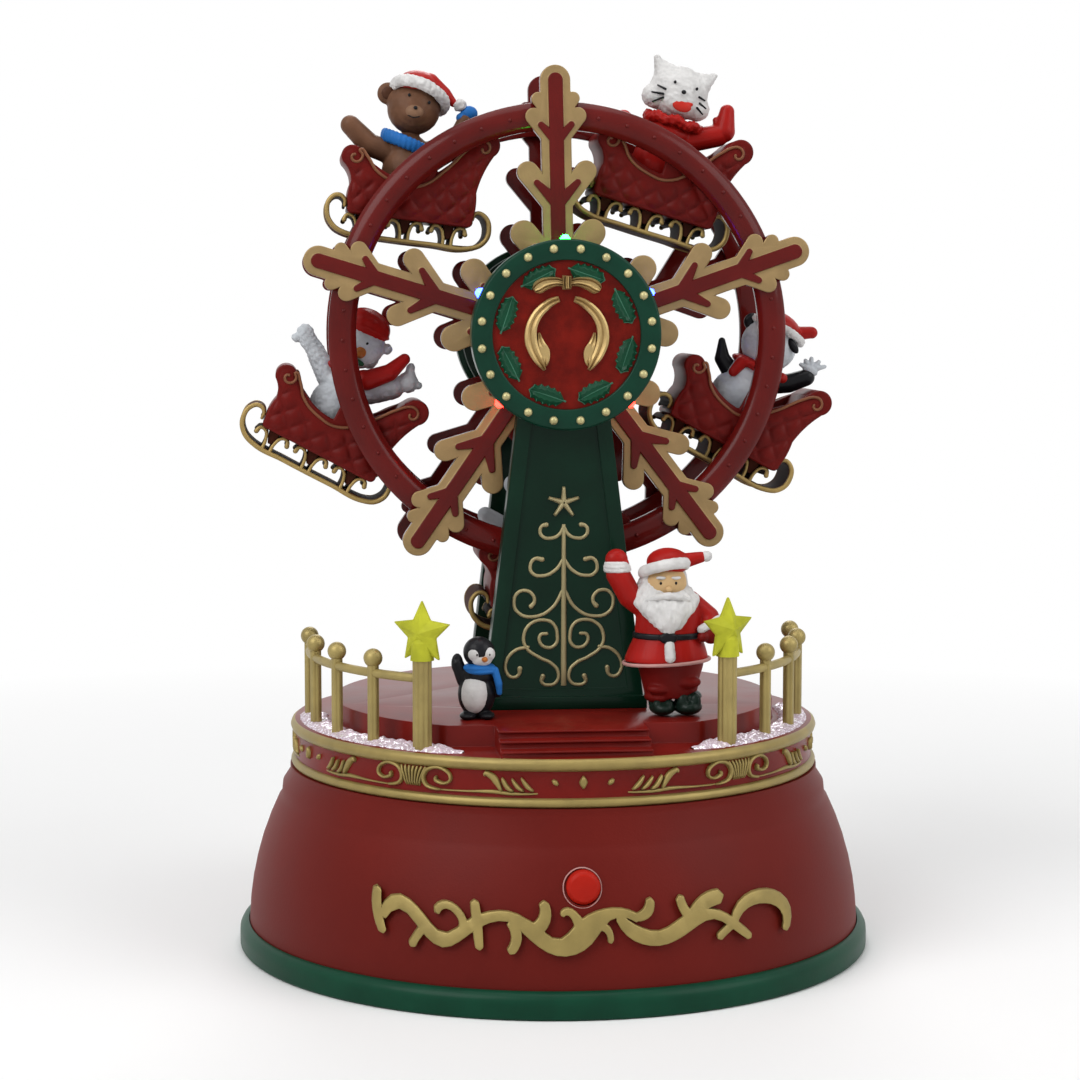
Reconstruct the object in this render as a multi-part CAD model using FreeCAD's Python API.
import FreeCAD, Part
import math
import os

# Battery-driven musical big wheel with five sleighs on a round base, in millimetres.
# Z is up, the front faces -Y, the wheel turns about Y, and the origin is the middle of the underside.
# A place on the wheel or a tower is written (x, z) as seen from the front; depth is the distance from y = 0.

# Fits and running clearances
press_gap = 0.02
running_gap = 0.05
loose_gap = 0.2
rest_gap = 0.3

# Bands that a curved turned wall is made of
dome_bands = 6
bead_bands = 4
crown_bands = 4
ribbon_bands = 3

# Foot ring and floor
ring_radius = 87.5
ring_wall = 2.5
ring_band_top = 3.9
ring_height = 7.2
ring_chamfer = 0.6
foot_width = 7.5
foot_recess = 1.0
floor_thickness = 2.2
skirt_gap = 0.2

# Domed base shell, as insets from the radius below and rises from the height below
shell_wall = 2.4
dome_mid_inset = 2.6
dome_mid_rise = 18.3
shoulder_inset = 8.2
shoulder_rise = 15.1
neck_step = 1.0
neck_step_rise = 1.4
neck_inset = 0.3
neck_rise = 3.2
collar_inset = 2.1
cove_rise = 3.2
collar_rise = 2.0
lip_height = 2.0
lip_wall = 2.2

# Deck with its frieze band, beads, ledge, plateau and steps
band_inset = 1.6
band_height = 12.6
deck_wall = 2.2
bead_proud = 1.4
lower_bead_width = 2.6
upper_bead_width = 3.2
ledge_width = 10.6
plateau_rise = 5.6
plateau_front = 51.5
step_half_width = 19.4
step_offset = -1.2
step_drop = 1.95
step_noses = (61.0, 65.2, 69.0)
nosing_proud = 0.5
nosing_thickness = 0.6

# Scroll moulding on the front of the dome
scroll_proud = 2.2
scroll_margin = 3.0
# Strokes of the scroll as seen from the front: x, height and half-width at each station
scroll_strokes = (
    ((-51.7, 29.5, 1.0), (-51.9, 25.4, 1.2), (-50.6, 19.4, 1.0)),
    (
        (-50.5, 23.5, 1.3), (-45.6, 26.9, 1.75), (-41.1, 23.0, 1.65), (-35.8, 18.8, 1.75),
        (-29.9, 22.2, 1.5), (-22.9, 25.4, 1.25), (-15.7, 23.4, 1.5),
    ),
    ((-43.5, 17.0, 0.95), (-42.4, 18.9, 0.95), (-41.1, 20.8, 1.0)),
    ((-37.3, 25.8, 1.1), (-35.0, 27.4, 0.95), (-31.8, 25.5, 1.0), (-30.9, 22.8, 1.1)),
    ((-28.0, 28.4, 1.1), (-27.5, 23.0, 1.25), (-27.1, 17.6, 1.0)),
    ((-19.0, 23.8, 1.4), (-18.0, 19.9, 1.3), (-19.4, 17.0, 1.1)),
    ((-11.0, 28.5, 1.3), (-10.8, 25.5, 1.5), (-13.8, 22.0, 1.9)),
    (
        (-17.2, 24.2, 1.4), (-14.3, 22.1, 1.9), (-7.6, 18.1, 2.0), (-1.3, 21.3, 3.1),
        (4.5, 25.6, 1.6), (12.2, 24.6, 1.1),
    ),
    ((-6.6, 26.1, 0.8), (-5.2, 26.8, 0.9), (-3.0, 24.8, 1.2), (-1.3, 21.8, 2.1)),
    ((12.3, 24.7, 1.1), (15.1, 26.2, 1.35), (15.7, 28.6, 1.15)),
    ((1.6, 23.3, 1.2), (4.6, 22.2, 0.95), (5.4, 19.3, 0.8)),
    (
        (7.6, 25.0, 1.1), (13.0, 20.4, 1.85), (18.0, 19.4, 1.8), (25.4, 22.4, 2.1),
        (32.2, 23.9, 1.25), (37.8, 20.9, 1.15), (42.3, 17.1, 0.9),
    ),
    ((23.5, 28.6, 1.15), (24.2, 26.5, 1.2), (26.0, 23.8, 1.3)),
    ((26.6, 24.4, 1.3), (31.3, 27.4, 1.95), (34.2, 27.9, 1.8)),
    ((33.8, 18.1, 1.0), (35.7, 19.5, 1.0), (38.0, 21.0, 1.1)),
    (
        (38.0, 21.0, 1.1), (41.7, 25.5, 1.6), (45.9, 26.2, 1.75), (52.3, 23.4, 1.6),
        (53.2, 17.2, 1.15),
    ),
)

# Screws between the floor and the shell
screw_count = 4
screw_circle_inset = 9.0
screw_post_radius = 4.2
screw_post_height = 24.0
screw_boss_rise = 2.8
screw_head_radius = 2.9
screw_head_thickness = 1.6
screw_shank_radius = 1.4
screw_grip = 8.0
screw_cap_wall = 2.4

# Push button, its switch and the circuit board
button_x = -1.0
button_height = 32.1
button_radius = 4.3
button_proud = 1.7
button_edge = 0.9
button_travel = 1.5
button_flange = 1.2
button_flange_thickness = 1.5
button_stem_radius = 1.9
button_sleeve_wall = 1.9
button_sleeve_length = 7.0
switch_half = 2.4
switch_depth = 4.4
plunger_radius = 1.3
plunger_length = 1.0
spring_radius = 4.9
spring_wall = 0.7
board_setback = 12.1
board_thickness = 1.6
board_half_width = 22.0
board_bottom = 18.0
board_height = 26.0
board_post_half = 2.5
board_post_height = 33.0
board_slot_depth = 3.0
chip_size = 9.0
chip_thickness = 1.8

# Battery box with three cells lying along X
cell_count = 3
cell_radius = 7.1
cell_length = 48.5
cell_nub_radius = 2.7
cell_nub_length = 1.5
cell_gap = 1.0
cell_end_room = 3.2
box_wall = 1.5
box_front = 14.0
box_roof_gap = 1.0
cover_ledge = 1.5
cover_margin = 1.2
cover_thickness = 1.2
cover_notch_radius = 4.0
contact_thickness = 0.5
contact_radius = 3.2

# Speaker
speaker_radius = 25.0
speaker_setback = 26.4
speaker_rim = 2.0
speaker_cone_height = 7.0
magnet_radius = 11.0
magnet_height = 5.0
grille_slots = 5
grille_slot_width = 2.4
grille_pitch = 6.5

# Wheel, as depths stacked outwards from the middle
hub_rise = 100.2
pivot_radius = 58.4
sleigh_half_width = 11.2
sleigh_gap = 1.2
rim_width = 7.5
rim_plate = 2.5
rim_crown = 2.0
flake_thickness = 3.1
strip_thickness = 0.56
flake_boss = 1.5
flake_gap = 0.3
hub_tube_radius = 5.0
flake_disc_radius = 14.0
flake_boss_radius = 6.0
arm_count = 5
first_arm_angle = 91.2
arm_length = 67.5
arm_half_width = 4.05
branch_angle = 38.7
strip_half_width = 2.0
strip_branch_half_width = 0.9
strip_branch_hub_side = 1.7
strip_branch_web = 0.65
strip_branch_stop = 0.8
strip_inset = 3.0
# Branches on each side of an arm: distance along it, distance out to the lobe's centre, lobe radius
hub_lobe = (27.0, 9.2, 3.6)
mid_lobe = (43.3, 7.8, 2.9)
outer_lobe = (58.0, 5.9, 2.3)
rim_lobe = (62.6, 4.7, 1.8)

# Axle, bushes and the belt drive
axle_radius = 1.5
axle_end = 30.0
bush_radius = 3.0
bush_flange_radius = 4.5
bush_flange = 0.8
belt_size = 1.6
belt_gap = 0.2
axle_groove_radius = 7.2
motor_groove_radius = 4.5
pulley_flange = 1.6
pulley_cheek = 0.5
motor_axis_drop = 22.6
gearbox_half_width = 12.0
gearbox_half_height = 9.0
gearbox_length = 14.0
gearbox_gap = 0.9
motor_radius = 7.5
motor_length = 20.0
motor_nose_radius = 3.0
motor_nose_length = 2.0
shaft_radius = 1.5
shaft_depth = 6.0
bracket_thickness = 2.0
bracket_flange = 7.0

# Towers, one in front of the wheel and one behind
tower_foot_half = 21.9
tower_top_half = 9.8
tower_head_inset = 1.5
tower_back = 1.4
tower_cavity = 3.2
tower_face = 2.3
tower_wall = 2.0
panel_border = 4.0
panel_depth = 0.9
foot_height = 3.4
foot_proud = 1.0
foot_margin = 0.5
peg_x = 14.5
peg_radius = 1.6
peg_length = 3.0
belt_slot_half = 9.0

# Tree relief on each tower face, as strokes from the stem outwards, (x, height above the plateau)
relief_thickness = 0.7
relief_width = 1.0
stem_width = 1.2
stem_bottom = 6.2
stem_top = 49.7
star_height = 55.5
star_radius = 4.2
relief_tiers = (
    ((0.0, 49.0), (-1.3, 46.9), (-3.4, 46.0), (-6.4, 48.0), (-4.7, 49.6)),
    ((0.0, 40.5), (-2.4, 37.3), (-5.8, 35.9), (-9.0, 38.6), (-5.6, 40.5)),
    ((0.0, 32.4), (-3.4, 27.0), (-8.3, 24.9), (-13.4, 28.7), (-10.4, 31.9), (-7.9, 30.2), (-8.8, 27.5)),
)
relief_spiral = (
    (-4.6, 20.3),
    (-6.5, 19.1),
    (-4.2, 16.5),
    (-1.7, 19.4),
    (-5.3, 24.0),
    (-10.7, 20.1),
    (-6.6, 13.9),
    (-3.4, 12.3),
    (-1.4, 9.9),
    (-1.9, 7.3),
    (-3.6, 6.4),
    (-5.9, 7.2),
    (-5.6, 8.8),
)
relief_curl = ((-9.3, 16.9), (-13.0, 15.9), (-15.6, 12.6), (-15.3, 9.6), (-13.9, 8.6), (-12.1, 9.3), (-11.9, 11.8))

# Round covers over the hub, with their trim
disc_radius = 25.1
disc_depth = 6.9
disc_wall = 2.6
disc_face = 1.8
disc_ring_width = 5.5
disc_recess = 1.0
disc_panel_thickness = 0.6
stud_count = 20
stud_radius = 1.1
stud_height = 0.8
stud_inset = 2.4
leaf_count = 8
leaf_inset = 8.4
leaf_length = 10.4
leaf_half_width = 2.4
leaf_thickness = 0.9
leaf_first_angle = 26.8
bow_height = 13.2
bow_half_width = 8.2
bow_half_height = 2.1
bow_thickness = 1.4
knot_radius = 1.8
knot_thickness = 2.2
tail_width = 3.2
tail_reach = 10.0
tail_drop = 8.7

# Lamps round the covers and the boards that feed them
lamp_radius = 1.45
lamp_proud = 1.2
lamp_inside = 5.6
lamp_depth = 2.0
board_hole_radius = 9.0
lamp_board_thickness = 0.5
green_lamp_angles = (90.0,)
blue_lamp_angles = (154.0, 26.0)
red_lamp_angles = (226.0, 314.0)

# Fences on the ledge
fence_inset = 4.0
star_post_angle = 35.8
post_spacing = 14.1
post_count = 4
star_post_radius = 2.5
post_radius = 1.5
star_post_height = 26.6
post_height = 20.4
ball_radius = 2.5
rail_height = 18.5
rail_radius = 1.2
fence_star_rise = 30.2
fence_star_radius = 8.4
fence_star_depth = 2.9
fence_star_turn = 30.0
sleeve_wall = 0.6
sleeve_length = 3.4

# Snow on the ledge
snow_thickness = 1.2
snow_points = 16
snow_jag = 1.6
snow_margin = 0.6
snow_first_angle = 26.0
snow_last_angle = 97.0

# Sleigh outline about its pivot, (x, z); four numbers mean an arc through the last two
sleigh_outline = (
    (-18.0, -16.5),
    (12.6, -16.5),
    (14.2, -14.6, 13.8, -16.1),
    (14.3, -7.0, 14.6, -10.8),
    (17.9, 3.3, 15.7, -1.4),
    (12.9, 8.0, 17.5, 9.0),
    (-1.0, -5.8, 6.7, 0.2),
    (-12.7, -3.4, -7.1, -5.6),
    (-17.6, 0.6, -15.3, -1.7),
    (-22.2, -3.2, -21.7, 1.0),
    (-19.5, -8.0, -20.3, -5.4),
    (-19.6, -14.6, -20.0, -11.2),
    (-18.0, -16.5, -19.3, -16.1),
)
sleigh_side = 2.0
seat_left = -17.2
seat_right = 11.4
seat_floor = -12.0
ear_radius = 3.2
ear_drop = 8.0
pin_radius = 1.55
pin_reach = 4.3
rim_hole_depth = 3.6

# Sleigh runner, a strap with a curl at each end and scrolls up to the body
runner_half_width = 8.5
runner_strap = 1.6
runner_bottom = -22.0
runner_left = -19.6
runner_right = 14.6
runner_curls = (
    ((-19.6, -22.0), (-24.8, -17.6), (-23.0, -11.9)),
    ((-23.0, -11.9), (-21.2, -12.3), (-20.9, -13.6)),
    ((14.6, -22.0), (19.5, -16.8), (14.6, -11.9)),
)
runner_scrolls = 4
runner_scroll_width = 1.3

# Rest tilt of each sleigh, right end down as seen from the front, and its place on the wheel
sleigh_tilts = (7.0, 17.0, 28.0, 28.5, -1.0)
sleigh_arm_steps = (0.5, -0.5, 1.5, -1.5, 2.5)

# Figures on the deck
penguin_x = -24.6
penguin_y = -40.7
figure_x = 29.0
figure_y = -39.0

# Values worked out from the sizes above
floor_top = foot_recess + floor_thickness
skirt_radius = ring_radius - ring_wall - skirt_gap
dome_mid_radius = skirt_radius - dome_mid_inset
dome_mid_height = ring_height + dome_mid_rise
shoulder_radius = skirt_radius - shoulder_inset
shoulder_height = dome_mid_height + shoulder_rise
step_radius = shoulder_radius - neck_step
step_height = shoulder_height + neck_step_rise
neck_radius = step_radius - neck_inset
neck_height = step_height + neck_rise
collar_radius = neck_radius - collar_inset
cove_height = neck_height + cove_rise
shell_height = cove_height + collar_rise
band_radius = collar_radius - band_inset
band_inner = band_radius - deck_wall
ledge_height = shell_height + band_height
plateau_radius = band_radius - ledge_width
plateau_height = ledge_height + plateau_rise
hub_height = plateau_height + hub_rise
rim_near = sleigh_half_width + sleigh_gap
flake_near = rim_near + rim_plate
flake_far = flake_near + flake_thickness
boss_far = flake_far + flake_boss
bush_near = boss_far + flake_gap
tower_near = bush_near + bush_flange
cavity_near = tower_near + tower_back
cavity_far = cavity_near + tower_cavity
tower_far = cavity_far + tower_face
belt_depth = (cavity_near + cavity_far) / 2
disc_far = tower_far + disc_depth
recess_face = disc_far - disc_recess
tower_head_radius = disc_radius - tower_head_inset
stud_circle = disc_radius - stud_inset
leaf_circle = disc_radius - leaf_inset
motor_height = plateau_height - motor_axis_drop
fence_radius = band_radius - fence_inset
cell_pitch = 2 * cell_radius + cell_gap
box_back = box_front + cell_count * cell_pitch
box_half = (cell_length + cell_nub_length) / 2 + cell_end_room
box_top = floor_top + 2 * cell_radius + box_roof_gap
cell_height = floor_top + cell_radius
screw_circle = skirt_radius - screw_circle_inset
boss_top = floor_top + screw_boss_rise
sleigh_angles = [first_arm_angle + 360 / arm_count * step for step in sleigh_arm_steps]

ORIGIN = FreeCAD.Vector(0, 0, 0)
UP = FreeCAD.Vector(0, 0, 1)
REAR = FreeCAD.Vector(0, 1, 0)
FORWARD = FreeCAD.Vector(0, -1, 0)
HUB = FreeCAD.Vector(0, 0, hub_height)


# Small tools

def at(x, y, z):
    return FreeCAD.Vector(x, y, z)


def shifted(shape, x=0.0, y=0.0, z=0.0):
    copy = shape.copy()
    copy.translate(at(x, y, z))
    return copy


def turned(shape, degrees, axis=UP, about=ORIGIN):
    copy = shape.copy()
    copy.rotate(about, axis, degrees)
    return copy


def joined(shapes):
    if len(shapes) == 1:
        return shapes[0]
    return shapes[0].fuse(list(shapes[1:])).removeSplitter()


def group(shapes):
    """Separate solids that share one node."""
    solids = []
    for shape in shapes:
        solids.extend(shape.Solids)
    return Part.makeCompound(solids)


def rear_copy(shape):
    return shape.mirror(ORIGIN, REAR)


def both_ends(shape):
    """The piece in front of the wheel and its twin behind."""
    return group([shape, rear_copy(shape)])


def wire_along(path, place):
    """Closed wire through a path; a point with four numbers is reached by an arc through its last two."""
    edges = []
    previous = path[-1][:2]
    for step in path:
        start = place(*previous)
        end = place(*step[:2])
        if len(step) == 4:
            edges.append(Part.Arc(start, place(*step[2:]), end).toShape())
        elif start.distanceToPoint(end) > 1e-6:
            edges.append(Part.makeLine(start, end))
        previous = step[:2]
    return Part.Wire(edges)


def front_view(x, z):
    return at(x, 0, z)


def arc_points(start, via, end, bands):
    """Points after the start of an arc, so that a turned wall is this many even bands."""
    edge = Part.Arc(front_view(*start), front_view(*via), front_view(*end)).toShape()
    points = edge.discretize(bands + 1)
    return [(point.x, point.z) for point in points[1:]]


def flat(path):
    """Flat face seen from the front, in the plane y = 0."""
    return Part.Face(wire_along(path, front_view))


def thick(face, near, far):
    """The flat face made into a plate in front of the wheel, between two depths."""
    return shifted(face, y=-near).extrude(at(0, near - far, 0))


def plates(faces, near, far):
    """Flat faces that touch, made into one plate."""
    return joined([thick(face, near, far) for face in faces])


def spun(path):
    """A path of (radius, height) turned about Z."""
    return Part.Face(wire_along(path, front_view)).revolve(ORIGIN, UP, 360)


def wheel_turned(path):
    """A path of (radius, depth) turned about the wheel's axis, in front of the wheel."""

    def place(radius, depth):
        return at(radius, -depth, hub_height)

    return Part.Face(wire_along(path, place)).revolve(HUB, REAR, 360)


def rod(radius, start, end):
    axis = end - start
    return Part.makeCylinder(radius, axis.Length, start, axis)


def block(x0, x1, y0, y1, z0, z1):
    return Part.makeBox(x1 - x0, y1 - y0, z1 - z0, at(x0, y0, z0))


def round_face(x, z, radius):
    return Part.Face(Part.Wire(Part.makeCircle(radius, at(x, 0, z), REAR)))


def bar_face(start, end, radius):
    """Bar with round ends between two points seen from the front."""
    length = math.hypot(end[0] - start[0], end[1] - start[1])
    along = ((end[0] - start[0]) / length * radius, (end[1] - start[1]) / length * radius)
    side = (-along[1], along[0])
    return flat(
        (
            (start[0] + side[0], start[1] + side[1], start[0] - along[0], start[1] - along[1]),
            (end[0] + side[0], end[1] + side[1]),
            (end[0] - side[0], end[1] - side[1], end[0] + along[0], end[1] + along[1]),
            (start[0] - side[0], start[1] - side[1]),
        )
    )


def arc_face(start, via, end, width):
    """Curved bar of even width with round ends, along the arc through three points."""
    arc = Part.Arc(front_view(*start), front_view(*via), front_view(*end)).toShape().Curve
    centre = (arc.Center.x, arc.Center.z)
    radius = arc.Radius

    def beside(point, offset):
        scale = (radius + offset) / radius
        return (centre[0] + (point[0] - centre[0]) * scale, centre[1] + (point[1] - centre[1]) * scale)

    turn = (start[0] - centre[0]) * (via[1] - centre[1]) - (start[1] - centre[1]) * (via[0] - centre[0])
    way = math.copysign(width / 2 / radius, turn)

    def beyond(point, angle):
        x = point[0] - centre[0]
        z = point[1] - centre[1]
        return (
            centre[0] + x * math.cos(angle) - z * math.sin(angle),
            centre[1] + x * math.sin(angle) + z * math.cos(angle),
        )

    half = width / 2
    return flat(
        (
            beside(start, half) + beyond(start, -way),
            beside(end, half) + beside(via, half),
            beside(end, -half) + beyond(end, way),
            beside(start, -half) + beside(via, -half),
        )
    )


def smooth_points(points):
    """Points along a smooth curve through the given ones, a few for each stretch."""
    curve = Part.BSplineCurve()
    curve.interpolate([front_view(x, z) for x, z in points])
    found = curve.toShape().discretize((len(points) - 1) * ribbon_bands + 1)
    return [(point.x, point.z) for point in found]


def ribbon_face(stations):
    """Band with blunt tips along a smooth curve; a station is x, z and the half-width there."""
    upper = []
    lower = []
    last = len(stations) - 1
    for n, (x, z, half) in enumerate(stations):
        before = stations[max(n - 1, 0)]
        after = stations[min(n + 1, last)]
        along = (after[0] - before[0], after[1] - before[1])
        scale = half / math.hypot(*along)
        side = (-along[1] * scale, along[0] * scale)
        upper.append((x + side[0], z + side[1]))
        lower.append((x - side[0], z - side[1]))
        if n == 0:
            start_tip = (x - side[1] * 0.7, z + side[0] * 0.7)
        if n == last:
            end_tip = (x + side[1] * 0.7, z - side[0] * 0.7)
    return flat([start_tip] + smooth_points(upper) + [end_tip] + smooth_points(lower[::-1]))


def mirrored_faces(faces):
    return [face.mirror(ORIGIN, at(1, 0, 0)) for face in faces]


def star_points(radius, inner_share, x=0.0, z=0.0):
    points = []
    for n in range(10):
        reach = radius if n % 2 == 0 else radius * inner_share
        angle = math.radians(90 + 36 * n)
        points.append((x + reach * math.cos(angle), z + reach * math.sin(angle)))
    return points


def swell(stations, sides=8):
    """Rounded form through level rings; a station is its middle x, y, z and its half-widths along X and Y."""
    rings = []
    for x, y, z, half_x, half_y in stations:
        corners = []
        for n in range(sides):
            angle = 2 * math.pi * (n + 0.5) / sides
            corners.append(at(x + half_x * math.cos(angle), y + half_y * math.sin(angle), z))
        rings.append(corners)
    faces = [polygon_face(rings[0]), polygon_face(rings[-1])]
    for low, high in zip(rings, rings[1:]):
        for n in range(sides):
            after = (n + 1) % sides
            faces.extend(patch_faces(low[n], low[after], high[after], high[n]))
    form = Part.Solid(Part.Shell(faces))
    if form.Volume < 0:
        form.reverse()
    return form


def polygon_face(corners):
    return Part.Face(Part.makePolygon(corners + corners[:1]))


def patch_faces(first, second, third, fourth):
    """One flat face between four corners, or two where they don't lie in one plane."""
    twist = (second - first).cross(third - first).dot(fourth - first)
    if abs(twist) < 1e-6:
        return [polygon_face([first, second, third, fourth])]
    return [polygon_face([first, second, third]), polygon_face([first, third, fourth])]


def limb(start, end, root_radius, tip_radius, sides=6):
    """Tapered limb from a joint to a blunt tip."""
    along = end - start
    form = swell(
        (
            (0, 0, 0, root_radius, root_radius),
            (0, 0, along.Length - tip_radius * 0.6, tip_radius, tip_radius),
            (0, 0, along.Length, tip_radius * 0.5, tip_radius * 0.5),
        ),
        sides,
    )
    form.Placement = FreeCAD.Placement(start, FreeCAD.Rotation(UP, along))
    return form


def ball(x, y, z, half_x, half_y, half_z, sides=8):
    """Rounded head or pompom as a faceted ball."""
    levels = ((-1.0, 0.35), (-0.62, 0.8), (0.0, 1.0), (0.62, 0.8), (1.0, 0.35))
    return swell([(x, y, z + half_z * up, half_x * out, half_y * out) for up, out in levels], sides)


# Base

def dome_points(inset):
    return arc_points(
        (skirt_radius - inset, ring_height),
        (dome_mid_radius - inset, dome_mid_height),
        (shoulder_radius - inset, shoulder_height),
        dome_bands,
    )


def dome_radius(height):
    """Outer radius of the dome at a height."""
    points = [(skirt_radius, ring_height)] + dome_points(0)
    for low, high in zip(points, points[1:]):
        if height <= high[1]:
            break
    share = (height - low[1]) / (high[1] - low[1])
    return low[0] + (high[0] - low[0]) * share


def shell_outside():
    return [
        (skirt_radius, floor_top),
        (skirt_radius, ring_height),
        *dome_points(0),
        (step_radius, step_height),
        (neck_radius, neck_height),
        (collar_radius, cove_height),
        (collar_radius, shell_height),
    ]


def screw_places():
    for n in range(screw_count):
        angle = math.radians(360 / screw_count * (n + 0.5))
        yield screw_circle * math.cos(angle), screw_circle * math.sin(angle)


def bottom_cover():
    seat_radius = skirt_radius + skirt_gap
    tray = spun(
        (
            (0, foot_recess),
            (ring_radius - foot_width, foot_recess),
            (ring_radius - foot_width, 0),
            (ring_radius - ring_chamfer, 0),
            (ring_radius, ring_chamfer),
            (ring_radius, ring_band_top),
            *arc_points(
                (ring_radius, ring_band_top), (ring_radius - 0.6, ring_height - 1.1), (seat_radius, ring_height),
                bead_bands,
            ),
            (seat_radius, floor_top),
            (0, floor_top),
        )
    )
    box = block(
        -box_half - box_wall, box_half + box_wall, box_front - box_wall, box_back + box_wall,
        floor_top, box_top + box_wall,
    )
    front = -board_front()
    back = front + board_thickness
    posts = []
    for side in (-1, 1):
        middle = side * board_half_width
        posts.append(
            block(
                middle - board_post_half, middle + board_post_half,
                front - board_post_half, back + board_post_half,
                floor_top, board_post_height,
            )
        )
    bosses = []
    holes = []
    for x, y in screw_places():
        bosses.append(rod(screw_head_radius + screw_cap_wall, at(x, y, floor_top), at(x, y, boss_top)))
        head_top = boss_top - screw_cap_wall
        holes.append(rod(screw_head_radius + loose_gap, at(x, y, 0), at(x, y, head_top)))
        holes.append(rod(screw_shank_radius + loose_gap, at(x, y, 0), at(x, y, boss_top + 1)))
    cavity = block(-box_half, box_half, box_front, box_back, floor_top, box_top)
    opening = block(
        -box_half + cover_ledge, box_half - cover_ledge, box_front + cover_ledge, box_back - cover_ledge,
        0, floor_top + 1,
    )
    recess = block(
        -box_half - cover_margin, box_half + cover_margin, box_front - cover_margin, box_back + cover_margin,
        0, foot_recess + cover_thickness,
    )
    board_slot = block(
        -board_half_width - loose_gap, board_half_width + loose_gap,
        front - loose_gap / 2, back + loose_gap / 2,
        board_bottom, board_post_height + 1,
    )
    slots = []
    for n in range(grille_slots):
        aside = grille_pitch * (n - (grille_slots - 1) / 2)
        y = speaker_place() + aside
        reach = math.sqrt(speaker_radius**2 - aside**2) * 0.7
        slots.append(
            block(-reach, reach, y - grille_slot_width / 2, y + grille_slot_width / 2, 0, floor_top + 1)
        )
    return joined([tray, box] + posts + bosses).cut(holes + [cavity, opening, recess, board_slot] + slots)


def base_shell():
    lip_inner = band_inner - loose_gap - lip_wall
    flange_under = cove_height - shell_wall / 2
    lip = [
        (band_inner - loose_gap, shell_height),
        (band_inner - loose_gap, shell_height + lip_height),
        (lip_inner, shell_height + lip_height),
    ]
    inside = [
        (lip_inner, flange_under),
        (neck_radius - shell_wall, flange_under),
        (neck_radius - shell_wall, neck_height),
        *dome_points(shell_wall)[::-1],
        (skirt_radius - shell_wall, ring_height),
        (skirt_radius - shell_wall, floor_top),
    ]
    shell = spun(shell_outside() + lip + inside)
    filled = spun(shell_outside() + [(0, shell_height), (0, floor_top)])
    sleeve = rod(
        button_radius + button_sleeve_wall,
        at(button_x, -sleeve_end(), button_height),
        at(button_x, -sleeve_end() - button_sleeve_length - shell_wall, button_height),
    ).common(filled)
    posts = []
    holes = [
        rod(button_radius + running_gap * 2, at(button_x, 0, button_height),
            at(button_x, -ring_radius, button_height)),
    ]
    for x, y in screw_places():
        post = rod(screw_post_radius, at(x, y, boss_top), at(x, y, boss_top + screw_post_height))
        posts.append(post.common(filled))
        holes.append(rod(screw_shank_radius + press_gap, at(x, y, 0), at(x, y, boss_top + screw_grip + 1)))
    return joined([shell, sleeve] + posts).cut(holes)


def deck():
    lower = lower_bead_width
    upper = upper_bead_width
    bead_edge = band_radius + bead_proud * 0.15
    body = spun(
        (
            (bead_edge, shell_height),
            *arc_points(
                (bead_edge, shell_height), (band_radius + bead_proud, shell_height + lower / 2),
                (bead_edge, shell_height + lower), bead_bands,
            ),
            (band_radius, shell_height + lower),
            (band_radius, ledge_height - upper),
            (bead_edge, ledge_height - upper),
            *arc_points(
                (bead_edge, ledge_height - upper), (band_radius + bead_proud, ledge_height - upper / 2),
                (bead_edge, ledge_height), bead_bands,
            ),
            (0, ledge_height),
            (0, ledge_height - deck_wall),
            (band_inner, ledge_height - deck_wall),
            (band_inner, shell_height),
        )
    )
    front = -plateau_front
    keep = block(-plateau_radius, plateau_radius, front, plateau_radius, 0, plateau_height)
    rise = rod(plateau_radius, at(0, 0, ledge_height - deck_wall), at(0, 0, plateau_height)).common(keep)
    keep_inside = block(
        -plateau_radius, plateau_radius, front + deck_wall, plateau_radius, 0, plateau_height
    )
    hollow = rod(
        plateau_radius - deck_wall, at(0, 0, 0), at(0, 0, plateau_height - deck_wall)
    ).common(keep_inside)
    steps = []
    for n, nose in enumerate(step_noses):
        steps.append(
            block(
                step_offset - step_half_width, step_offset + step_half_width, -nose, front + 0.5,
                ledge_height - deck_wall, plateau_height - step_drop * n,
            )
        )
        steps.append(
            block(
                step_offset - step_half_width, step_offset + step_half_width, -nose - nosing_proud, front,
                plateau_height - step_drop * n - nosing_thickness, plateau_height - step_drop * n,
            )
        )
    cuts = [
        block(
            -belt_slot_half, belt_slot_half, belt_depth - tower_cavity / 2, belt_depth + tower_cavity / 2,
            0, plateau_height + 1,
        )
    ]
    for side in (-1, 1):
        for depth in (-belt_depth, belt_depth):
            cuts.append(
                rod(peg_radius + running_gap, at(side * peg_x, depth, 0), at(side * peg_x, depth, plateau_height + 1))
            )
    return joined([body, rise] + steps).cut([hollow]).cut(cuts)


def base_scroll():
    """Branching scroll on the dome, drawn as seen from the front and laid on the curved wall."""
    faces = [ribbon_face(stations) for stations in scroll_strokes]
    drawn = plates(faces, 0, ring_radius + scroll_proud)
    low = min(station[1] for stations in scroll_strokes for station in stations) - scroll_margin
    high = max(station[1] for stations in scroll_strokes for station in stations) + scroll_margin
    layer = spun(
        (
            (dome_radius(high) - scroll_proud, low),
            (dome_radius(low) + scroll_proud, low),
            (dome_radius(high) + scroll_proud, high),
            (dome_radius(high) - scroll_proud, high),
        )
    )
    filled = spun(shell_outside() + [(0, shell_height), (0, floor_top)])
    return drawn.common(layer).cut(filled)


def screws():
    shapes = []
    for x, y in screw_places():
        head_top = boss_top - screw_cap_wall
        head = rod(screw_head_radius, at(x, y, head_top - screw_head_thickness), at(x, y, head_top))
        shank = rod(screw_shank_radius, at(x, y, head_top), at(x, y, boss_top + screw_grip))
        shapes.append(joined([head, shank]))
    return group(shapes)


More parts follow.
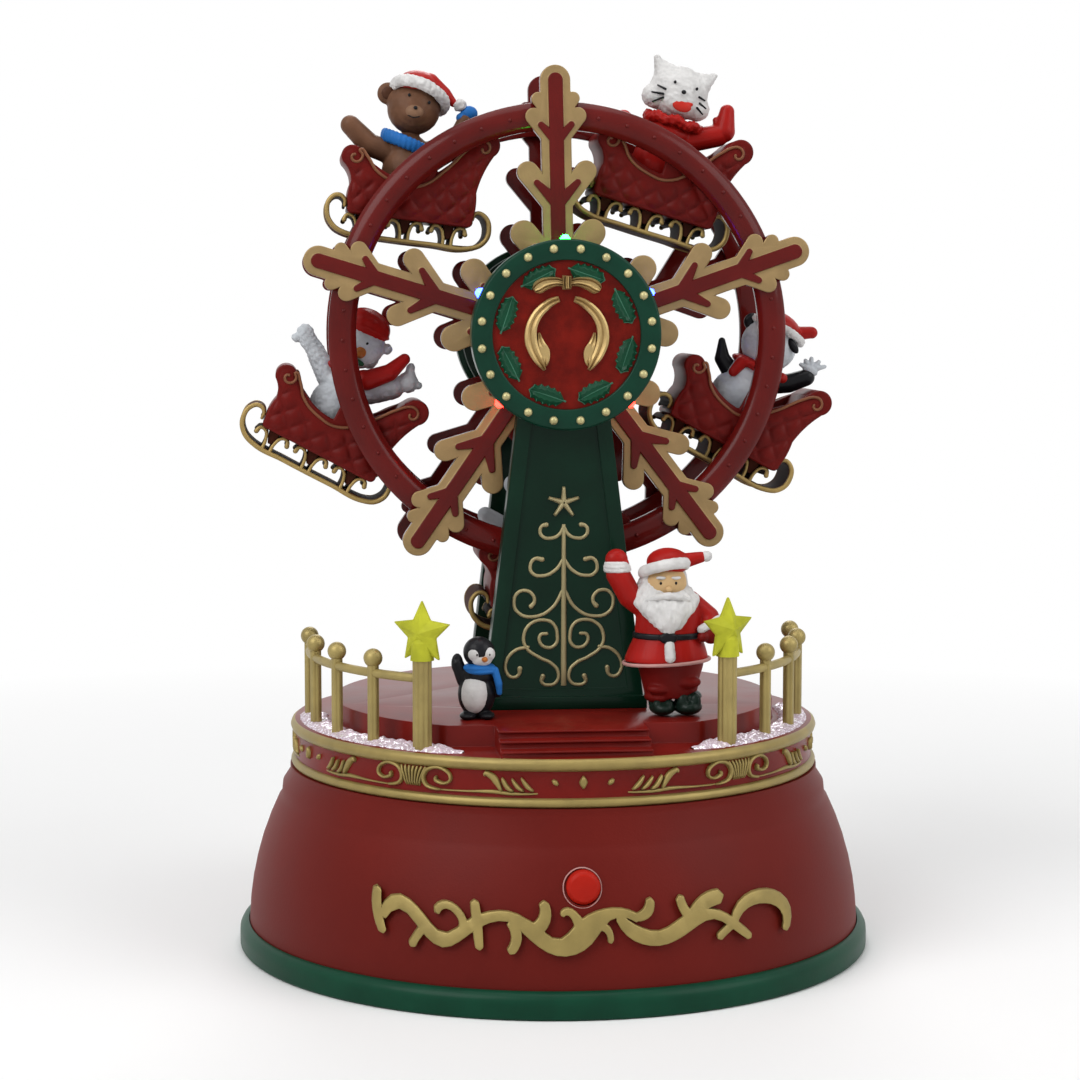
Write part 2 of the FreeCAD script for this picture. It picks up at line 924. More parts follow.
def battery_cover():
    plate_shape = block(
        -box_half - cover_margin + loose_gap, box_half + cover_margin - loose_gap,
        box_front - cover_margin + loose_gap, box_back + cover_margin - loose_gap,
        foot_recess, foot_recess + cover_thickness,
    )
    notch = rod(cover_notch_radius, at(0, box_back + cover_margin, 0), at(0, box_back + cover_margin, floor_top))
    return plate_shape.cut(notch)


def cell_rows():
    for n in range(cell_count):
        way = 1 if n % 2 == 0 else -1
        yield box_front + cell_pitch * (n + 0.5), way


def batteries():
    shapes = []
    half = cell_length / 2
    for y, way in cell_rows():
        shift = -way * cell_nub_length / 2
        body = rod(cell_radius, at(shift - half, y, cell_height), at(shift + half, y, cell_height))
        nub_start = at(shift + way * half, y, cell_height)
        nub_end = at(shift + way * (half + cell_nub_length), y, cell_height)
        shapes.append(joined([body, rod(cell_nub_radius, nub_start, nub_end)]))
    return group(shapes)


def battery_contacts():
    shapes = []
    end_half = (cell_length + cell_nub_length) / 2
    for side in (-1, 1):
        for y, way in cell_rows():
            plate_face = side * (box_half - contact_thickness)
            leaf = block(
                min(plate_face, side * box_half), max(plate_face, side * box_half),
                y - cell_radius + 1, y + cell_radius - 1, floor_top, box_top - 1,
            )
            spring = Part.makeCone(
                contact_radius, contact_radius * 0.6, box_half - contact_thickness - end_half - press_gap,
                at(plate_face, y, cell_height), at(-side, 0, 0),
            )
            shapes.append(joined([leaf, spring]))
    return group(shapes)


def speaker():
    low = floor_top
    cone_top = low + speaker_rim + speaker_cone_height
    driver = spun(
        (
            (0, low + 1),
            (speaker_radius - 2, low + 1),
            (speaker_radius - 2, low),
            (speaker_radius, low),
            (speaker_radius, low + speaker_rim),
            (magnet_radius, cone_top),
            (magnet_radius, cone_top + magnet_height),
            (0, cone_top + magnet_height),
        )
    )
    return shifted(driver, y=speaker_place())


# Button, switch and board

def button_front():
    """Depth of the button's face."""
    return dome_radius(button_height) + button_proud


def sleeve_end():
    """Depth of the inner end of the sleeve that guides the button."""
    return dome_radius(button_height) - button_sleeve_length


def board_front():
    """Depth of the circuit board's front face."""
    return sleeve_end() - board_setback


def speaker_place():
    """Y of the speaker's middle, behind the circuit board."""
    return speaker_setback - board_front()


def along_button(path):
    """A path of (radius, depth) turned about the button's own axis."""

    def place(radius, depth):
        return at(button_x + radius, -depth, button_height)

    return Part.Face(wire_along(path, place)).revolve(at(button_x, 0, button_height), REAR, 360)


def push_button():
    face = button_front()
    flange_far = sleeve_end() - rest_gap
    flange_near = flange_far - button_flange_thickness
    stem_end = board_front() + switch_depth + plunger_length + button_travel + rest_gap
    return along_button(
        (
            (0, stem_end),
            (button_stem_radius, stem_end),
            (button_stem_radius, flange_near),
            (button_radius + button_flange, flange_near),
            (button_radius + button_flange, flange_far),
            (button_radius, flange_far),
            (button_radius, face - button_edge),
            (button_radius - button_edge, face),
            (0, face),
        )
    )


def button_spring():
    near = board_front() + rest_gap
    far = sleeve_end() - rest_gap - button_flange_thickness - rest_gap
    return along_button(
        (
            (spring_radius - spring_wall, near),
            (spring_radius, near),
            (spring_radius, far),
            (spring_radius - spring_wall, far),
        )
    )


def button_switch():
    back = -board_front()
    front = back - switch_depth
    case = block(
        button_x - switch_half, button_x + switch_half, front, back,
        button_height - switch_half, button_height + switch_half,
    )
    tip = rod(
        plunger_radius,
        at(button_x, front, button_height),
        at(button_x, front - plunger_length, button_height),
    )
    return joined([case, tip])


def circuit_board():
    front = -board_front()
    back = front + board_thickness
    card = block(
        -board_half_width, board_half_width, front, back, board_bottom, board_bottom + board_height
    )
    chips = []
    for x in (-11, 5):
        chips.append(
            block(x, x + chip_size, back, back + chip_thickness, board_bottom + 8, board_bottom + 8 + chip_size)
        )
    return joined([card] + chips)


# Drive

def pulley_path(groove_radius, bore_radius):
    half = belt_size / 2 + belt_gap / 2
    edge = half + pulley_cheek
    flange = groove_radius + belt_size + pulley_flange * 0.5
    return (
        (bore_radius, belt_depth - edge),
        (flange, belt_depth - edge),
        (flange, belt_depth - half),
        (groove_radius, belt_depth - half),
        (groove_radius, belt_depth + half),
        (flange, belt_depth + half),
        (flange, belt_depth + edge),
        (bore_radius, belt_depth + edge),
    )


def axle_pulley():
    return rear_copy(wheel_turned(pulley_path(axle_groove_radius, axle_radius + press_gap)))


def gearbox_rear():
    return belt_depth - belt_size / 2 - belt_gap / 2 - pulley_cheek - gearbox_gap


def drive_pulley():
    drop = motor_height - hub_height
    wheel_part = shifted(rear_copy(wheel_turned(pulley_path(motor_groove_radius, 0))), z=drop)
    shaft = rod(shaft_radius, at(0, gearbox_rear() - shaft_depth, motor_height), at(0, belt_depth, motor_height))
    return joined([wheel_part, shaft])


def gear_motor():
    rear = gearbox_rear()
    front = rear - gearbox_length
    case = block(
        -gearbox_half_width, gearbox_half_width, front, rear,
        motor_height - gearbox_half_height, motor_height + gearbox_half_height,
    )
    can = rod(motor_radius, at(0, front - motor_length, motor_height), at(0, front, motor_height))
    can_end = front - motor_length
    nose = rod(motor_nose_radius, at(0, can_end - motor_nose_length, motor_height), at(0, can_end, motor_height))
    bore = rod(
        shaft_radius + running_gap, at(0, rear - shaft_depth - rest_gap, motor_height), at(0, rear + 1, motor_height)
    )
    return joined([case, can, nose]).cut(bore)


def motor_bracket():
    rear = gearbox_rear()
    front = rear - gearbox_length
    top = plateau_height - deck_wall
    inner = gearbox_half_width
    outer = inner + bracket_thickness
    roof = block(-outer - bracket_flange, outer + bracket_flange, front, rear, top - bracket_thickness, top)
    legs = []
    for x0, x1 in ((-outer, -inner), (inner, outer)):
        legs.append(block(x0, x1, front, rear, motor_height - gearbox_half_height, top - bracket_thickness))
    return joined([roof] + legs)


def belt_path(low_radius, high_radius):
    span = hub_height - motor_height
    lean = math.asin((high_radius - low_radius) / span)
    across = math.cos(lean)
    up = -math.sin(lean)
    return (
        (low_radius * across, motor_height + low_radius * up, 0, motor_height - low_radius),
        (high_radius * across, hub_height + high_radius * up),
        (-high_radius * across, hub_height + high_radius * up, 0, hub_height + high_radius),
        (-low_radius * across, motor_height + low_radius * up),
    )


def drive_belt():
    inner = belt_gap
    outer = belt_gap + belt_size
    loop = flat(belt_path(motor_groove_radius + outer, axle_groove_radius + outer)).cut(
        flat(belt_path(motor_groove_radius + inner, axle_groove_radius + inner))
    )
    return rear_copy(thick(loop, belt_depth - belt_size / 2, belt_depth + belt_size / 2))


def axle():
    return rod(axle_radius, at(0, -axle_end, hub_height), at(0, axle_end, hub_height))


def axle_bushes():
    bush = wheel_turned(
        (
            (axle_radius + running_gap, bush_near),
            (bush_flange_radius, bush_near),
            (bush_flange_radius, tower_near),
            (bush_radius, tower_near),
            (bush_radius, cavity_near),
            (axle_radius + running_gap, cavity_near),
        )
    )
    return both_ends(bush)


# Wheel

def rim():
    low = pivot_radius - rim_width / 2
    high = pivot_radius + rim_width / 2
    ring = wheel_turned(
        (
            (low, rim_near),
            (high, rim_near),
            (high, flake_near),
            *arc_points((high, flake_near), (pivot_radius, flake_near + rim_crown), (low, flake_near), crown_bands),
        )
    )
    holes = []
    for angle in sleigh_angles:
        x, z = wheel_place(angle)
        holes.append(rod(pin_radius + running_gap, at(x, 0, z), at(x, -rim_near - rim_hole_depth, z)))
    return ring.cut(holes)


def wheel_place(degrees):
    angle = math.radians(degrees)
    return pivot_radius * math.cos(angle), hub_height + pivot_radius * math.sin(angle)


def arm_faces():
    """One arm with its branches, lying along +X from the hub."""
    slope = math.tan(math.radians(branch_angle))
    faces = [bar_face((0, 0), (arm_length, 0), arm_half_width)]
    for along, out, lobe in (hub_lobe, mid_lobe, outer_lobe, rim_lobe):
        root = along - out / slope
        for side in (-1, 1):
            faces.append(bar_face((root, 0), (along, side * out), lobe))
    return faces


def strip_faces():
    """Raised strip along an arm, and branches that narrow to a round tip short of their lobes."""
    slope = math.tan(math.radians(branch_angle))
    across = strip_branch_half_width * math.sin(math.radians(branch_angle))
    up = strip_branch_half_width * math.cos(math.radians(branch_angle))
    faces = [bar_face((0, 0), (arm_length, 0), strip_half_width)]
    for along, out, lobe in (hub_lobe, mid_lobe, outer_lobe):
        root = along - out / slope
        end = out - lobe * strip_branch_stop
        tip = root + end / slope
        for side in (-1, 1):
            faces.append(bar_face((root, 0), (tip, side * end), strip_branch_half_width))
            faces.append(
                flat(
                    (
                        (root - strip_branch_hub_side, 0),
                        (root + end * strip_branch_web, 0),
                        (tip + across, side * (end - up)),
                        (tip - across, side * (end + up)),
                    )
                )
            )
    return faces


def on_every_arm(faces):
    placed = []
    for n in range(arm_count):
        angle = first_arm_angle + 360 / arm_count * n
        for face in faces:
            placed.append(shifted(turned(face, angle, FORWARD), z=hub_height))
    return placed


def flake():
    star = [round_face(0, hub_height, flake_disc_radius)] + on_every_arm(arm_faces())
    strips = [round_face(0, hub_height, flake_disc_radius - strip_inset)] + on_every_arm(strip_faces())
    body = plates(star, flake_near, flake_far)
    raised = plates(strips, flake_far, flake_far + strip_thickness)
    boss = rod(flake_boss_radius, at(0, -flake_far, hub_height), at(0, -boss_far, hub_height))
    tube = rod(hub_tube_radius, HUB, at(0, -flake_near, hub_height))
    bore = rod(axle_radius + press_gap, at(0, 1, hub_height), at(0, -boss_far - 1, hub_height))
    return joined([body, raised, boss, tube]).cut([rim(), bore])


# Towers

def tower_half(z):
    """Half the tower's width at a height."""
    share = (z - plateau_height) / hub_rise
    return tower_foot_half + (tower_top_half - tower_foot_half) * share


def tower_face_outline(inset, low, high):
    return flat(
        (
            (-tower_half(low) + inset, low),
            (tower_half(low) - inset, low),
            (tower_half(high) - inset, high),
            (-tower_half(high) + inset, high),
        )
    )


def tower_faces(inset, low):
    """Tapered leg and round head."""
    head = round_face(0, hub_height, tower_head_radius - inset)
    return [tower_face_outline(inset, low, hub_height), head]


def tower():
    shell = plates(tower_faces(0, plateau_height), cavity_near, tower_far)
    foot_half = tower_foot_half + foot_margin
    foot = block(
        -foot_half, foot_half, -tower_far - foot_proud, -cavity_near, plateau_height, plateau_height + foot_height
    )
    pegs = []
    for side in (-1, 1):
        pegs.append(
            rod(
                peg_radius,
                at(side * peg_x, -belt_depth, plateau_height - peg_length),
                at(side * peg_x, -belt_depth, plateau_height + foot_height),
            )
        )
    cavity = plates(tower_faces(tower_wall, plateau_height + foot_height), cavity_near, cavity_far)
    slot = block(
        -belt_slot_half, belt_slot_half, -cavity_far, -cavity_near, plateau_height, plateau_height + foot_height + 1
    )
    panel = thick(
        tower_face_outline(
            panel_border, plateau_height + foot_height + panel_border * 0.5, hub_height - tower_head_radius
        ),
        tower_far - panel_depth,
        tower_far + 1,
    )
    bore = rod(axle_radius + rest_gap, at(0, 0, hub_height), at(0, -tower_far - 1, hub_height))
    return joined([joined([shell, foot]).cut([cavity, slot, panel, bore])] + pegs)


def tower_back_plate():
    bore = rod(bush_radius + press_gap, at(0, 0, hub_height), at(0, -tower_far, hub_height))
    return plates(tower_faces(0, plateau_height), tower_near, cavity_near).cut(bore)


def tower_relief(tower_shape):
    face = tower_far - panel_depth
    faces = [bar_face((0, stem_bottom), (0, stem_top), stem_width / 2)]
    for tier in relief_tiers + (relief_spiral, relief_curl):
        left = [ribbon_face([(x, z, relief_width / 2) for x, z in tier])]
        faces.extend(left)
        faces.extend(mirrored_faces(left))
    faces.append(flat(star_points(star_radius, 0.42, 0, star_height)))
    tree = plates(faces, face, face + relief_thickness)
    return both_ends(shifted(tree, z=plateau_height).cut(tower_shape))


# Hub covers

def hub_cover():
    inner = disc_radius - disc_wall
    opening = disc_radius - disc_ring_width
    back = recess_face - disc_panel_thickness
    cup = wheel_turned(
        (
            (inner, tower_far),
            (disc_radius, tower_far),
            (disc_radius, disc_far - 0.5),
            (disc_radius - 0.5, disc_far),
            (opening, disc_far),
            (opening, back),
            (0, back),
            (0, disc_far - disc_recess - disc_panel_thickness - disc_face),
            (inner, disc_far - disc_recess - disc_panel_thickness - disc_face),
        )
    )
    holes = []
    for angle in green_lamp_angles + blue_lamp_angles + red_lamp_angles:
        holes.append(lamp_rod(angle, lamp_radius + running_gap * 2, inner - 2, disc_radius + 2))
    return cup.cut(holes)


def disc_panel():
    face = round_face(0, hub_height, disc_radius - disc_ring_width - running_gap)
    return both_ends(thick(face, recess_face - disc_panel_thickness, recess_face))


def disc_studs():
    shapes = []
    for n in range(stud_count):
        angle = math.radians(360 / stud_count * (n + 0.5))
        stud = swell(
            (
                (0, 0, 0, stud_radius, stud_radius),
                (0, 0, stud_height * 0.6, stud_radius * 0.8, stud_radius * 0.8),
                (0, 0, stud_height, stud_radius * 0.35, stud_radius * 0.35),
            ),
            6,
        )
        stud.Placement = FreeCAD.Placement(
            at(stud_circle * math.cos(angle), -disc_far, hub_height + stud_circle * math.sin(angle)),
            FreeCAD.Rotation(UP, FORWARD),
        )
        shapes.append(stud)
    return both_ends(group(shapes))


def leaf_face():
    """Holly leaf lying along X, with spines on both edges."""
    spines = 4
    upper = []
    for n in range(1, 2 * spines):
        share = n / (2 * spines)
        reach = leaf_half_width * math.sin(math.pi * share) ** 0.6
        if n % 2 == 0:
            reach *= 0.62
        upper.append((leaf_length * (share - 0.5), reach))
    lower = [(x, -z) for x, z in upper[::-1]]
    return flat([(-leaf_length / 2, 0)] + upper + [(leaf_length / 2, 0)] + lower)


def holly_wreaths(bow_shapes):
    shapes = []
    for n in range(leaf_count):
        angle = leaf_first_angle + 360 / leaf_count * n
        leaf = shifted(turned(leaf_face(), 90, FORWARD), x=leaf_circle)
        placed = shifted(turned(leaf, angle, FORWARD), z=hub_height)
        shapes.append(thick(placed, recess_face, recess_face + leaf_thickness))
    return group([both_ends(group(shapes)).cut(bow_shapes)])


def bows():
    loops = flat(
        (
            (-bow_half_width, bow_half_height),
            (0, bow_half_height * 0.4, -bow_half_width * 0.4, bow_half_height * 0.95),
            (bow_half_width, bow_half_height, bow_half_width * 0.4, bow_half_height * 0.95),
            (bow_half_width, -bow_half_height, bow_half_width * 1.05, 0),
            (0, -bow_half_height * 0.4, bow_half_width * 0.4, -bow_half_height * 0.8),
            (-bow_half_width, -bow_half_height, -bow_half_width * 0.4, -bow_half_height * 0.8),
            (-bow_half_width, bow_half_height, -bow_half_width * 1.05, 0),
        )
    )
    knot = round_face(0, 0, knot_radius)
    tail = arc_face(
        (-tail_width * 0.7, -knot_radius * 0.6),
        (-tail_reach, 1.4 - bow_height),
        (-tail_reach * 0.56, -tail_drop - bow_height),
        tail_width,
    )
    tails = [tail] + mirrored_faces([tail])
    ribbon = plates(tails + [loops], recess_face, recess_face + bow_thickness)
    bow = joined([ribbon, thick(knot, recess_face, recess_face + knot_thickness)])
    return both_ends(shifted(bow, z=hub_height + bow_height))


def lamp_rod(angle, radius, near, far):
    """Rod pointing away from the hub, at the lamps' depth."""
    way = at(math.cos(math.radians(angle)), 0, math.sin(math.radians(angle)))
    start = at(0, -tower_far - lamp_depth, hub_height)
    return rod(radius, start + way * near, start + way * far)


def lamps(angles):
    shapes = []
    for angle in angles:
        body = lamp_rod(angle, lamp_radius, disc_radius - lamp_inside, disc_radius)
        way = at(math.cos(math.radians(angle)), 0, math.sin(math.radians(angle)))
        base = at(0, -tower_far - lamp_depth, hub_height) + way * disc_radius
        tip = Part.makeCone(lamp_radius, lamp_radius * 0.45, lamp_proud, base, way)
        shapes.append(joined([body, tip]))
    return both_ends(group(shapes))


def lamp_boards():
    outer = disc_radius - lamp_inside - running_gap
    near = tower_far
    card = wheel_turned(
        (
            (board_hole_radius, near),
            (outer, near),
            (outer, near + lamp_board_thickness),
            (board_hole_radius, near + lamp_board_thickness),
        )
    )
    return both_ends(card)


# Fences and snow

def round_place(radius, degrees):
    """Point at an angle from the front, towards +X."""
    angle = math.radians(degrees)
    return radius * math.sin(angle), -radius * math.cos(angle)


def fence():
    x, y = round_place(fence_radius, star_post_angle)
    pieces = [swell(((x, y, ledge_height, star_post_radius, star_post_radius),
                     (x, y, ledge_height + star_post_height, star_post_radius, star_post_radius)), 10)]
    for n in range(1, post_count + 1):
        x, y = round_place(fence_radius, star_post_angle + post_spacing * n)
        top = ledge_height + post_height
        pieces.append(swell(((x, y, ledge_height, post_radius, post_radius), (x, y, top, post_radius, post_radius))))
        pieces.append(ball(x, y, top + ball_radius * 0.8, ball_radius, ball_radius, ball_radius))
    corners = []
    for n in range(8):
        angle = 2 * math.pi * n / 8
        corners.append((fence_radius + rail_radius * math.cos(angle),
                        ledge_height + rail_height + rail_radius * math.sin(angle)))
    section = turned(flat(corners), star_post_angle - 90)
    pieces.append(section.revolve(ORIGIN, UP, post_spacing * post_count))
    return joined(pieces)


def fences():
    right = fence()
    return group([right, right.mirror(ORIGIN, at(1, 0, 0))])


def fence_star():
    """Five-pointed star with ridged faces on a sleeve over the post's top."""
    x, y = round_place(fence_radius, star_post_angle)
    middle = ledge_height + fence_star_rise
    rim_points = [at(px, 0, pz) for px, pz in star_points(fence_star_radius, 0.48)]
    triangles = []
    for tip in (at(0, -fence_star_depth, 0), at(0, fence_star_depth, 0)):
        for n in range(10):
            triangles.append(polygon_face([rim_points[n], rim_points[(n + 1) % 10], tip]))
    star = Part.Solid(Part.Shell(triangles))
    if star.Volume < 0:
        star.reverse()
    star = shifted(turned(star, fence_star_turn), x, y, middle)
    top = ledge_height + star_post_height
    outer = star_post_radius + sleeve_wall
    sleeve = swell(
        (
            (x, y, top - sleeve_length, outer, outer),
            (x, y, top + sleeve_wall, outer, outer),
            (x, y, middle, outer * 0.5, outer * 0.5),
        ),
        10,
    )
    inner = star_post_radius + running_gap * 2
    bore = swell(((x, y, top - sleeve_length - 1, inner, inner), (x, y, top + running_gap, inner, inner)), 10)
    return joined([star, sleeve]).cut(bore)


def fence_stars():
    right = fence_star()
    return group([right, right.mirror(ORIGIN, at(1, 0, 0))])


def snow(fence_shape):
    outer = []
    inner = []
    for n in range(snow_points + 1):
        degrees = snow_first_angle + (snow_last_angle - snow_first_angle) * n / snow_points
        wobble = math.sin(2.4 * n) * 0.5 + 0.5
        outer.append(round_place(band_radius - snow_margin - snow_jag * wobble * 0.6, degrees))
        inner.append(round_place(plateau_radius + snow_margin + snow_jag * (1 - wobble) * 1.4, degrees))
    corners = [at(x, y, ledge_height) for x, y in outer + inner[::-1]]
    drift = Part.Face(Part.makePolygon(corners + corners[:1])).extrude(at(0, 0, snow_thickness))
    both = group([drift, drift.mirror(ORIGIN, at(1, 0, 0))])
    return group([both.cut(fence_shape)])


# Figures on the deck

def penguin():
    x = penguin_x
    y = penguin_y
    z = plateau_height
    body = swell(
        (
            (x, y, z + 1.2, 4.4, 3.6),
            (x, y, z + 5, 5.4, 4.4),
            (x, y, z + 10, 4.8, 4.0),
            (x, y, z + 13, 3.2, 2.8),
        )
    )
    head = ball(x, y - 0.3, z + 17.2, 4.5, 4.1, 4.4)
    beak = limb(at(x + 0.6, y - 3.4, z + 16.6), at(x + 0.9, y - 5.8, z + 16.2), 1.1, 0.5)
    scarf = swell(((x, y - 0.2, z + 11.4, 4.1, 3.7), (x, y - 0.2, z + 13.6, 4.1, 3.7)))
    left_wing = limb(at(x - 3.4, y, z + 10.5), at(x - 6.0, y - 0.6, z + 15.4), 1.7, 1.2)
    right_wing = limb(at(x + 3.6, y, z + 11.5), at(x + 5.6, y - 0.8, z + 4.6), 1.7, 1.3)
    feet = []
    for side in (-1, 1):
        feet.append(swell(((x + side * 2.7, y - 1.2, z, 2.4, 3.0), (x + side * 2.7, y - 0.8, z + 1.6, 1.9, 2.4))))
    return joined([body, head, beak, scarf, left_wing, right_wing] + feet)


def waving_figure():
    x = figure_x
    y = figure_y
    z = plateau_height
    boots = []
    for side in (-1, 1):
        boots.append(
            swell(
                (
                    (x + side * 4.7, y - 1.6, z, 4.3, 5.6),
                    (x + side * 4.7, y - 1.0, z + 3.6, 3.9, 4.8),
                    (x + side * 4.2, y, z + 5.4, 3.6, 3.8),
                )
            )
        )
    trousers = swell(((x, y, z + 5, 8.2, 6.0), (x, y, z + 9, 9.0, 7.0), (x - 1, y, z + 15, 8.8, 7.0)))
    coat = swell(
        (
            (x - 2.4, y, z + 13.6, 11.2, 8.8),
            (x - 1.8, y, z + 16.4, 10.4, 8.4),
            (x - 1.2, y, z + 21, 9.8, 8.0),
            (x - 1.2, y, z + 27, 9.8, 7.4),
            (x - 2.0, y, z + 32, 6.4, 5.6),
        )
    )
    head = ball(x - 3.6, y - 1.4, z + 34.0, 6.2, 5.8, 6.2)
    beard = swell(
        (
            (x - 1.4, y - 6.2, z + 20.0, 2.0, 1.6),
            (x - 1.8, y - 6.0, z + 25.0, 5.4, 3.2),
            (x - 2.8, y - 4.8, z + 30.5, 6.6, 4.4),
            (x - 3.4, y - 3.6, z + 33.0, 5.8, 4.2),
        )
    )
    cap_band = swell(((x - 3.4, y - 1.2, z + 36.6, 6.9, 6.5), (x - 3.0, y - 1.0, z + 40.0, 6.4, 6.2)))
    cap = swell(
        (
            (x - 3.0, y - 1.0, z + 39.5, 5.8, 5.6),
            (x - 1.6, y - 0.6, z + 43.0, 4.4, 4.4),
            (x + 0.6, y - 0.4, z + 44.6, 2.4, 2.6),
        )
    )
    cap_tail = limb(at(x - 0.6, y - 0.4, z + 42.2), at(x + 7.0, y - 0.8, z + 41.2), 2.6, 1.6)
    pompom = ball(x + 7.7, y - 0.8, z + 41.0, 2.2, 2.2, 2.2)
    raised_arm = limb(at(x - 8.0, y, z + 27.0), at(x - 14.6, y - 1.0, z + 36.6), 4.2, 3.6)
    cuff = limb(at(x - 13.6, y - 0.9, z + 35.0), at(x - 15.6, y - 1.2, z + 38.4), 4.0, 3.7)
    hand = ball(x - 16.0, y - 1.2, z + 40.2, 3.0, 2.4, 4.0)
    upper_arm = limb(at(x + 4.0, y, z + 29.6), at(x + 9.6, y - 0.8, z + 24.4), 4.0, 3.6)
    forearm = limb(at(x + 8.6, y - 1.4, z + 25.6), at(x + 6.4, y - 5.6, z + 19.4), 3.6, 2.8)
    return joined(
        [coat, trousers, head, beard, cap_band, cap, cap_tail, pompom]
        + boots
        + [raised_arm, cuff, hand, upper_arm, forearm]
    )


# Sleighs, runners and riders, each drawn about its pivot and then put on the wheel

def on_wheel(shape, number):
    x, z = wheel_place(sleigh_angles[number])
    return shifted(turned(shape, sleigh_tilts[number], REAR), x, 0, z)


def sleigh_body():
    half = sleigh_half_width
    body = thick(flat(sleigh_outline), -half, half)
    inner = half - sleigh_side
    well = block(seat_left, seat_right, -inner, inner, seat_floor, 20)
    ears = []
    for side in (-1, 1):
        ears.append(thick(bar_face((0, -ear_drop), (0, 0), ear_radius), side * inner, side * half))
        ears.append(rod(pin_radius, at(0, side * inner, 0), at(0, side * (half + pin_reach), 0)))
    return joined([body.cut(well)] + ears)


def runner(body):
    faces = [bar_face((runner_left, runner_bottom), (runner_right, runner_bottom), runner_strap / 2)]
    for start, via, end in runner_curls:
        faces.append(arc_face(start, via, end, runner_strap))
    spacing = (runner_right - runner_left) / (runner_scrolls + 0.4)
    floor = min(point[1] for point in sleigh_outline)
    for n in range(runner_scrolls):
        x = runner_left + spacing * (n + 0.7)
        low = (x, runner_bottom)
        middle = (x + spacing * 0.12, (runner_bottom + floor) / 2)
        high = (x - spacing * 0.22, floor + 0.4)
        faces.append(arc_face(low, middle, high, runner_scroll_width))
        faces.append(arc_face(high, (x + spacing * 0.06, floor - 0.6), (x + spacing * 0.34, floor + 0.2),
                              runner_scroll_width))
    return plates(faces, -runner_half_width, runner_half_width).cut(body)


def rider_trunk(head_x, head_z):
    return [
        swell(
            (
                (-4.0, 0, seat_floor, 7.2, 7.0),
                (-4.2, 0, -5.0, 7.8, 7.6),
                (-4.8, 0, 2.0, 6.6, 6.4),
                (-5.2, 0, 7.0, 4.4, 4.4),
            )
        ),
        ball(head_x, 0, head_z, 7.4, 7.0, 7.2),
        swell(((-5.2, -0.2, 4.6, 6.2, 5.8), (-5.3, -0.2, 7.6, 5.8, 5.4))),
        limb(at(-9.0, 0, 2.0), at(-21.0, 0, 9.5), 3.2, 2.4),
    ]


def winter_cap(head_x, head_z, tail_x, tail_z):
    return [
        swell(((head_x + 0.3, 0, head_z + 3.4, 7.5, 7.2), (head_x + 0.9, 0, head_z + 6.2, 6.7, 6.6))),
        swell(((head_x + 0.9, 0, head_z + 5.8, 6.0, 5.9), (head_x + 1.8, 0, head_z + 9.4, 3.2, 3.4))),
        limb(at(head_x + 1.4, 0, head_z + 7.2), at(tail_x, 0, tail_z), 3.0, 1.6),
        ball(tail_x, 0, tail_z, 2.0, 2.0, 2.0),
    ]


def round_ears(head_x, head_z):
    return [ball(head_x - 6.4, 0, head_z + 5.2, 3.2, 1.8, 3.0)]


def pointed_ears(head_x, head_z):
    shapes = []
    for side in (-1, 1):
        root = at(head_x + side * 4.2, 0, head_z + 4.0)
        shapes.append(limb(root, at(head_x + side * 6.6, 0, head_z + 10.4), 3.0, 0.9))
    return shapes


def right_arm(end_x, end_z):
    return [limb(at(-1.0, 0, 2.0), at(end_x, 0, end_z), 3.2, 2.5)]


def bear_rider():
    head = rider_trunk(-5.5, 14.0) + round_ears(-5.5, 14.0)
    return head + winter_cap(-5.5, 14.0, 8.4, 15.0) + right_arm(10.0, 9.5)


def cat_rider():
    return rider_trunk(-5.0, 14.0) + pointed_ears(-5.0, 14.0) + right_arm(11.5, 14.5)


def snow_bear_rider():
    return rider_trunk(-5.5, 14.0) + winter_cap(-5.5, 14.0, -10.0, 20.5) + right_arm(11.0, 12.0)


def masked_rider():
    return rider_trunk(-4.5, 14.0) + winter_cap(-4.5, 14.0, 7.0, 21.0) + right_arm(12.0, 13.5)


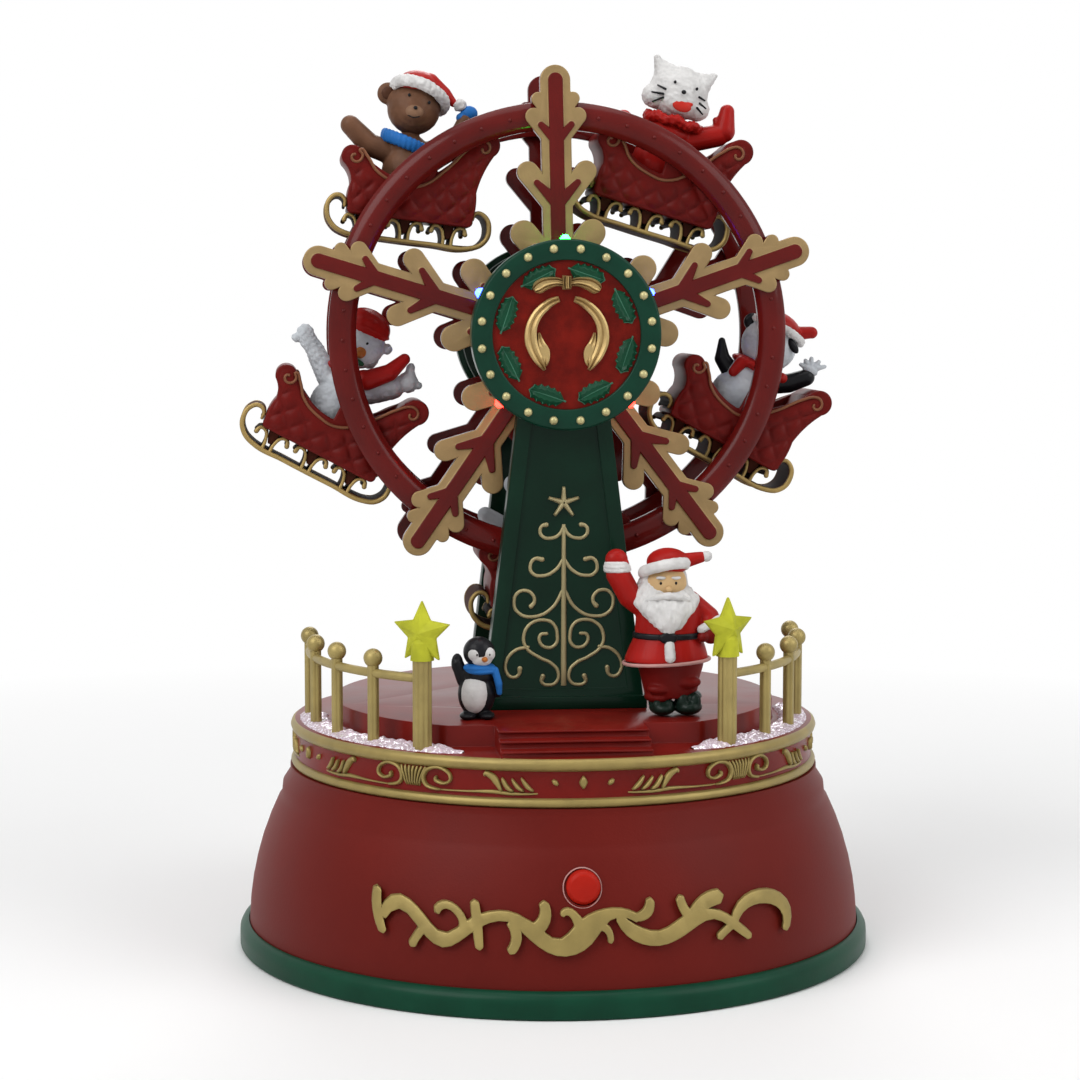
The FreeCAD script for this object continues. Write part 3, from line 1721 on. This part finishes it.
def plain_rider():
    return rider_trunk(-5.5, 13.6) + winter_cap(-5.5, 13.6, 4.0, 19.0) + right_arm(10.5, 12.5)


def build():
    front_fences = fences()
    front_tower = tower()
    bow_shapes = bows()
    nodes = {
        "bottom_cover": bottom_cover(),
        "base_shell": base_shell(),
        "deck": deck(),
        "base_scroll": base_scroll(),
        "screws": screws(),
        "battery_cover": battery_cover(),
        "batteries": batteries(),
        "battery_contacts": battery_contacts(),
        "speaker": speaker(),
        "push_button": push_button(),
        "button_spring": button_spring(),
        "button_switch": button_switch(),
        "circuit_board": circuit_board(),
        "gear_motor": gear_motor(),
        "motor_bracket": motor_bracket(),
        "drive_pulley": drive_pulley(),
        "drive_belt": drive_belt(),
        "axle_pulley": axle_pulley(),
        "axle": axle(),
        "axle_bushes": axle_bushes(),
        "front_rim": rim(),
        "front_flake": flake(),
        "front_tower": front_tower,
        "tower_backs": both_ends(tower_back_plate()),
        "tower_relief": tower_relief(front_tower),
        "front_disc": hub_cover(),
        "disc_panels": disc_panel(),
        "disc_studs": disc_studs(),
        "holly_wreaths": holly_wreaths(bow_shapes),
        "bows": bow_shapes,
        "green_lamps": lamps(green_lamp_angles),
        "blue_lamps": lamps(blue_lamp_angles),
        "red_lamps": lamps(red_lamp_angles),
        "lamp_boards": lamp_boards(),
        "fences": front_fences,
        "fence_stars": fence_stars(),
        "snow": snow(front_fences),
        "penguin": penguin(),
        "waving_figure": waving_figure(),
    }
    for name in ("rim", "flake", "tower", "disc"):
        nodes["rear_" + name] = rear_copy(nodes["front_" + name])
    body = sleigh_body()
    strap = runner(body)
    riders = (bear_rider(), cat_rider(), snow_bear_rider(), masked_rider(), plain_rider())
    for n, pieces in enumerate(riders):
        nodes["sleigh_%d" % (n + 1)] = on_wheel(body, n)
        nodes["runner_%d" % (n + 1)] = on_wheel(strap, n)
        nodes["rider_%d" % (n + 1)] = on_wheel(joined(pieces).cut(body), n)
    return nodes


os.makedirs("parts", exist_ok=True)
for node, shape in build().items():
    shape.exportStep("parts/" + node + ".step")
    print(node, len(shape.Solids), "solids", round(shape.Volume), "mm3")
